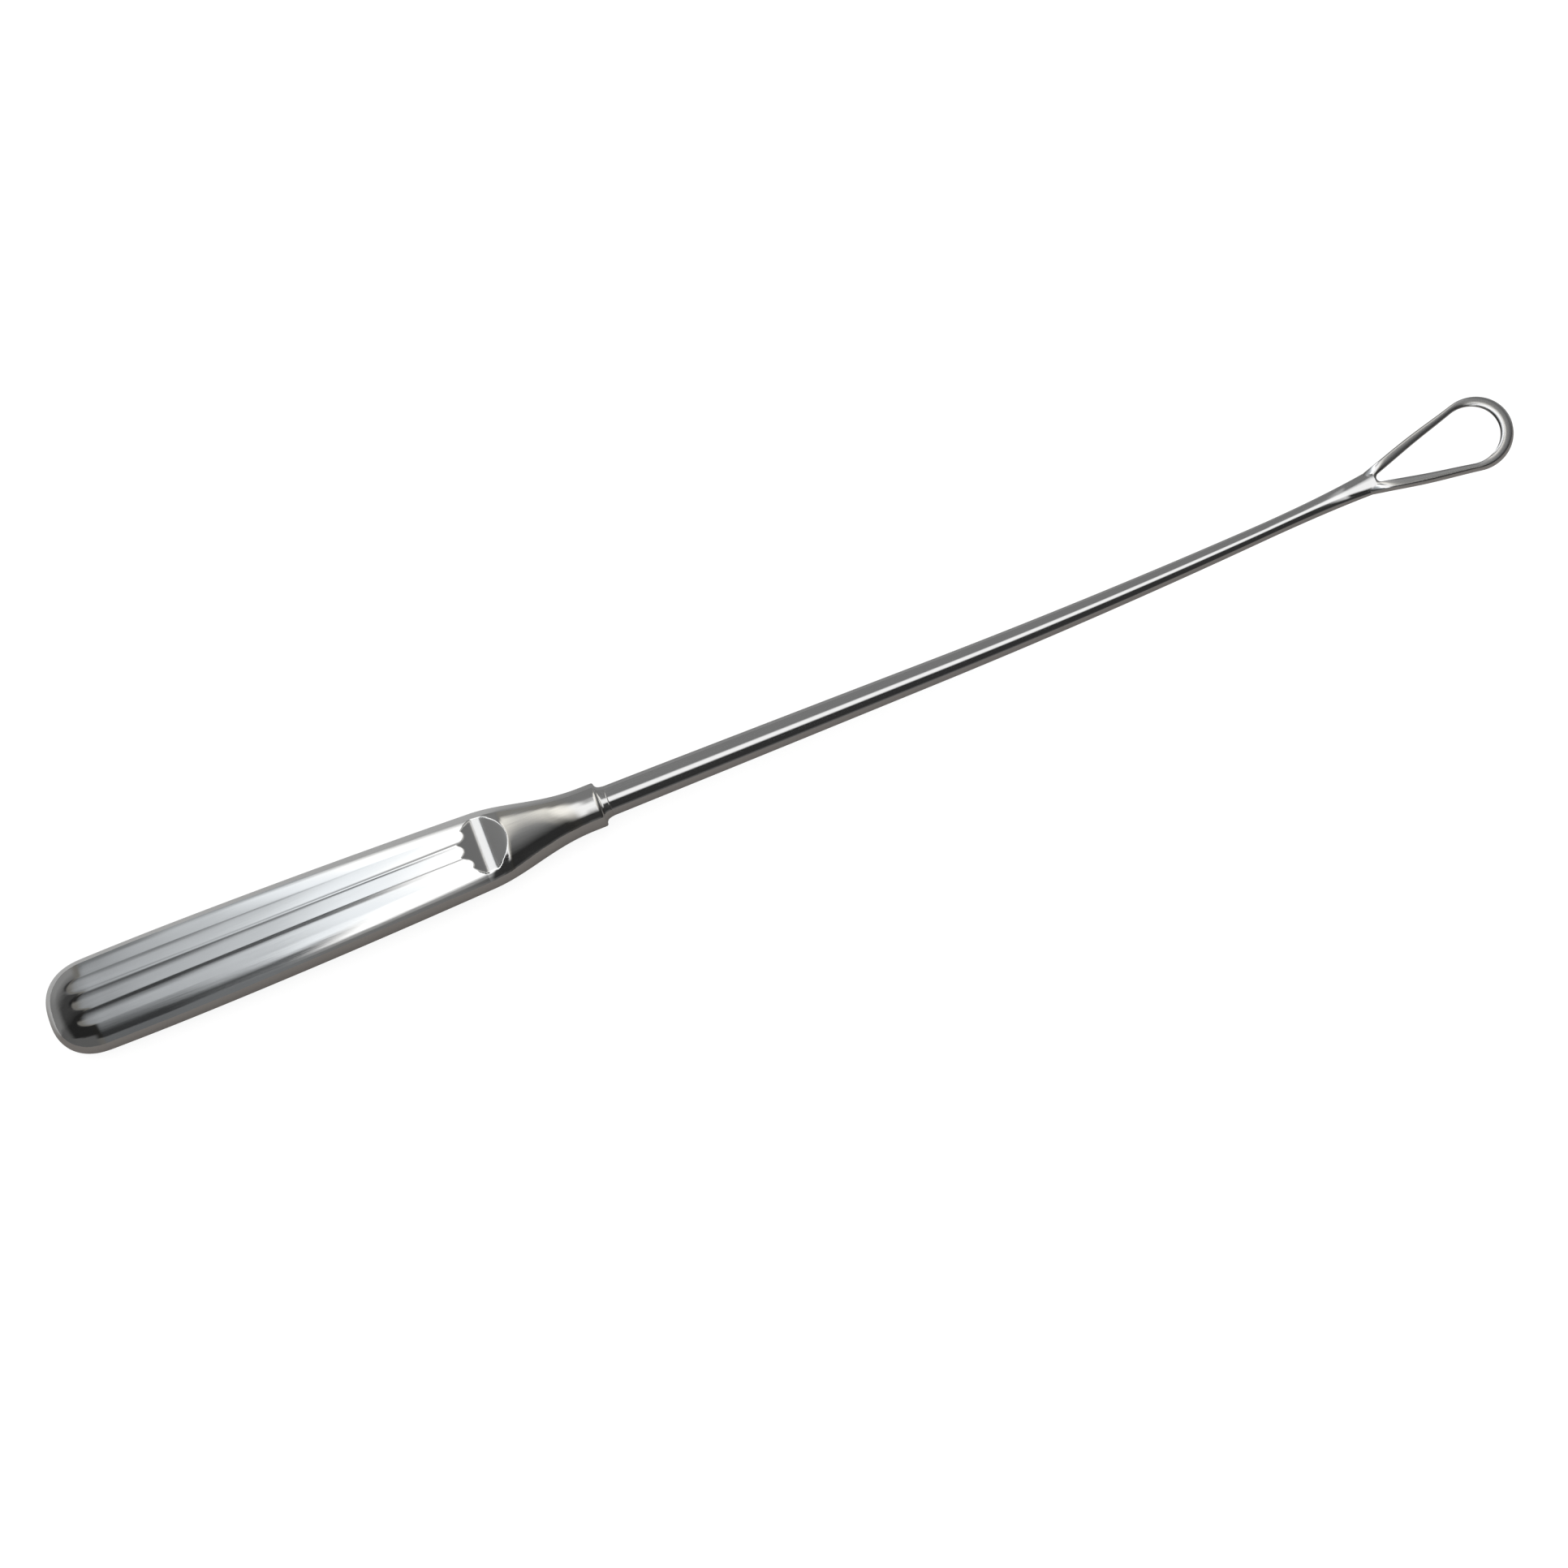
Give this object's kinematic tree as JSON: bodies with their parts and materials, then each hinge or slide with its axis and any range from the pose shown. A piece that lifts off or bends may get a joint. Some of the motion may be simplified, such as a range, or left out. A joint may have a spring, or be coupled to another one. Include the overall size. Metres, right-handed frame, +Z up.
{
  "type": "uterine curette",
  "caption": "One-piece hand curette: flat fluted handle with a thumb notch, long tapered shaft curving up to a flat teardrop loop with a sharp inner edge",
  "frame": {"origin": "centre of the bounding box on the surface that the curette lies on", "axes": "+X along the instrument from the handle's butt to the loop, +Y across the flat handle, +Z up out of the face with the thumb notch"},
  "size_m": [0.2792, 0.0176, 0.0204],
  "materials": {
    "handle_steel": "polished",
    "shaft_steel": "polished",
    "solder": "satin"
  },
  "bodies": {
    "root": {"handle": "handle_steel", "shaft": "shaft_steel", "solder_bead": "solder"}
  },
  "joints": []
}
